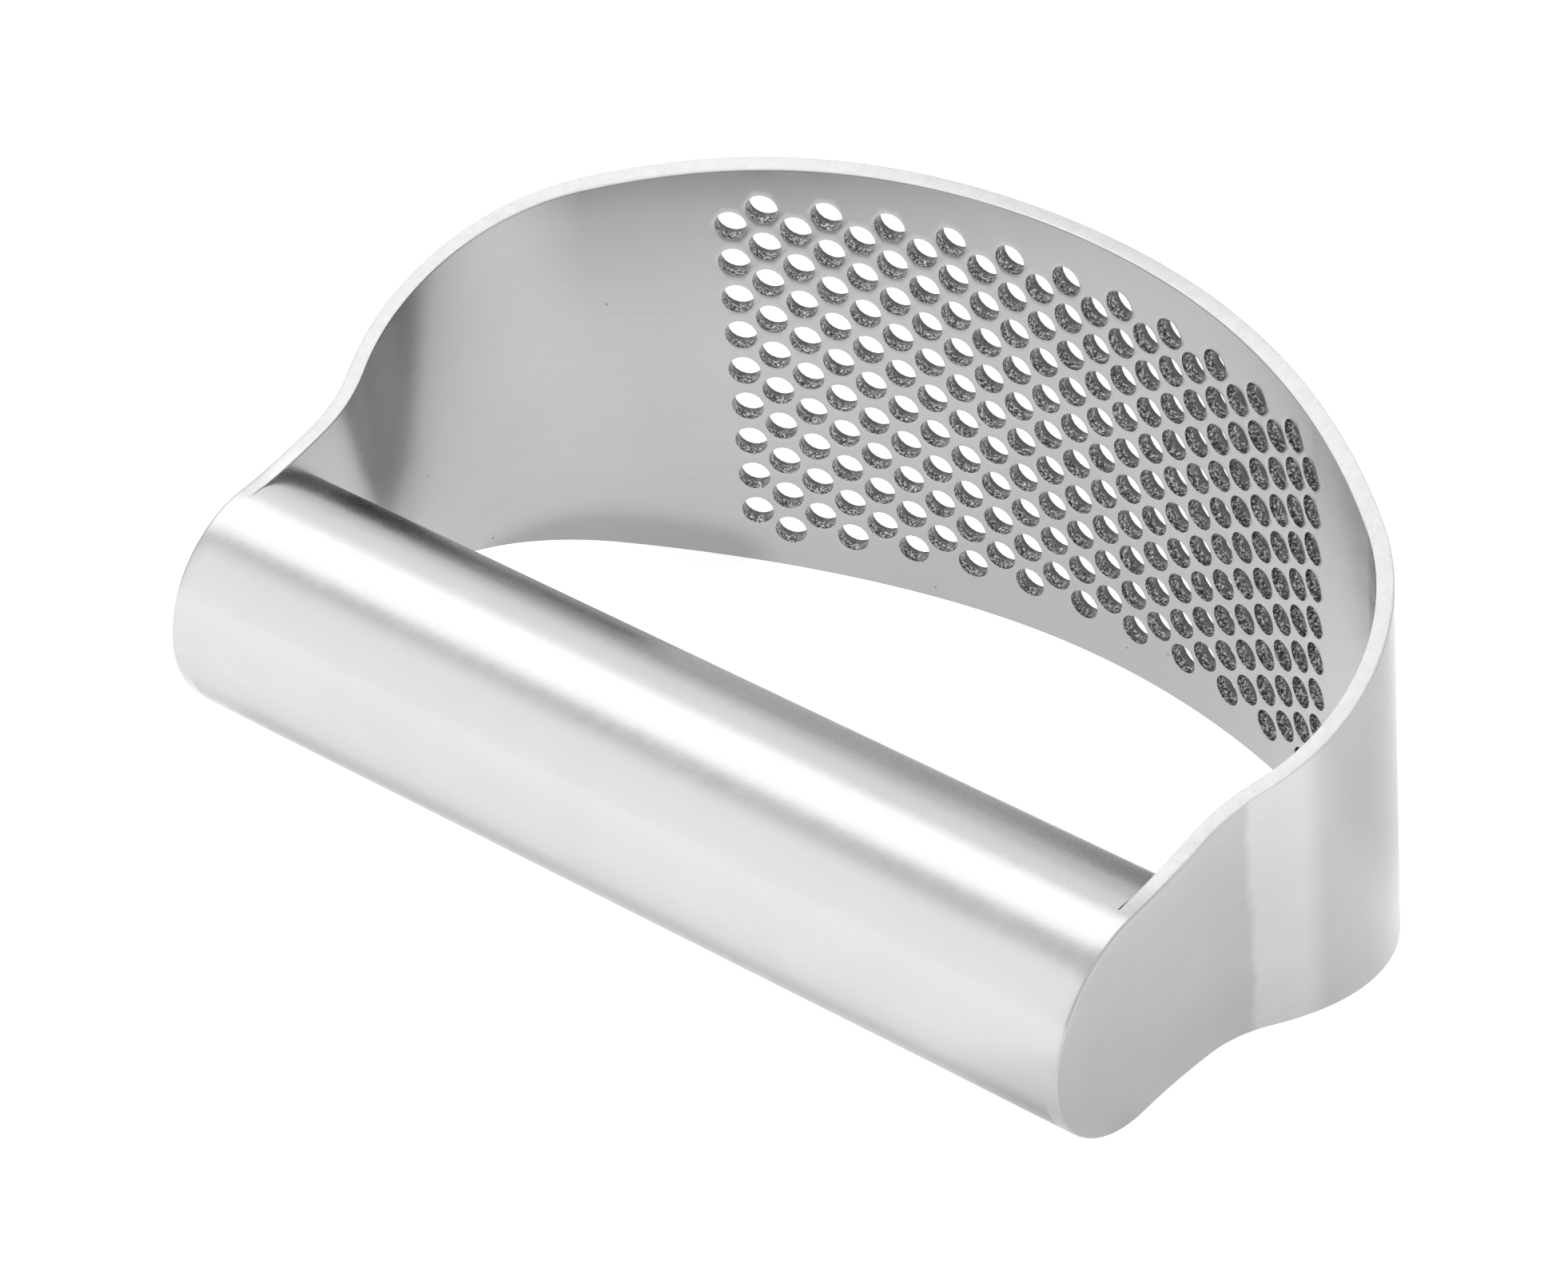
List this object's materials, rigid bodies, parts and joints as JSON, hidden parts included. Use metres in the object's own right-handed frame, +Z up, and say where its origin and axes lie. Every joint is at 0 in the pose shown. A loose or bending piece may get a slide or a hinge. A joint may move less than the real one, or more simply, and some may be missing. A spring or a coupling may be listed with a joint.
{
  "type": "garlic press",
  "caption": "Rocker garlic press: a perforated steel strip bent into a loop, its ears welded to the ends of a round tubular handle.",
  "frame": {"origin": "centre of the footprint on the table, with the press lying on its handle and on the lower edge of its strip", "axes": "+X along the handle towards the right ear, +Y from the handle to the curved belly, +Z up from the table"},
  "size_m": [0.0992, 0.0694, 0.0458],
  "materials": {
    "press_plate": "stainless sheet, finely brushed along the strip, punched holes with slightly rolled edges",
    "handle_tube": "stainless tube, satin ground",
    "weld_seams": "stainless weld, ground flush and satin"
  },
  "bodies": {
    "root": {"press_plate": "press_plate", "handle_tube": "handle_tube", "weld_left": "weld_seams", "weld_right": "weld_seams"}
  },
  "joints": []
}
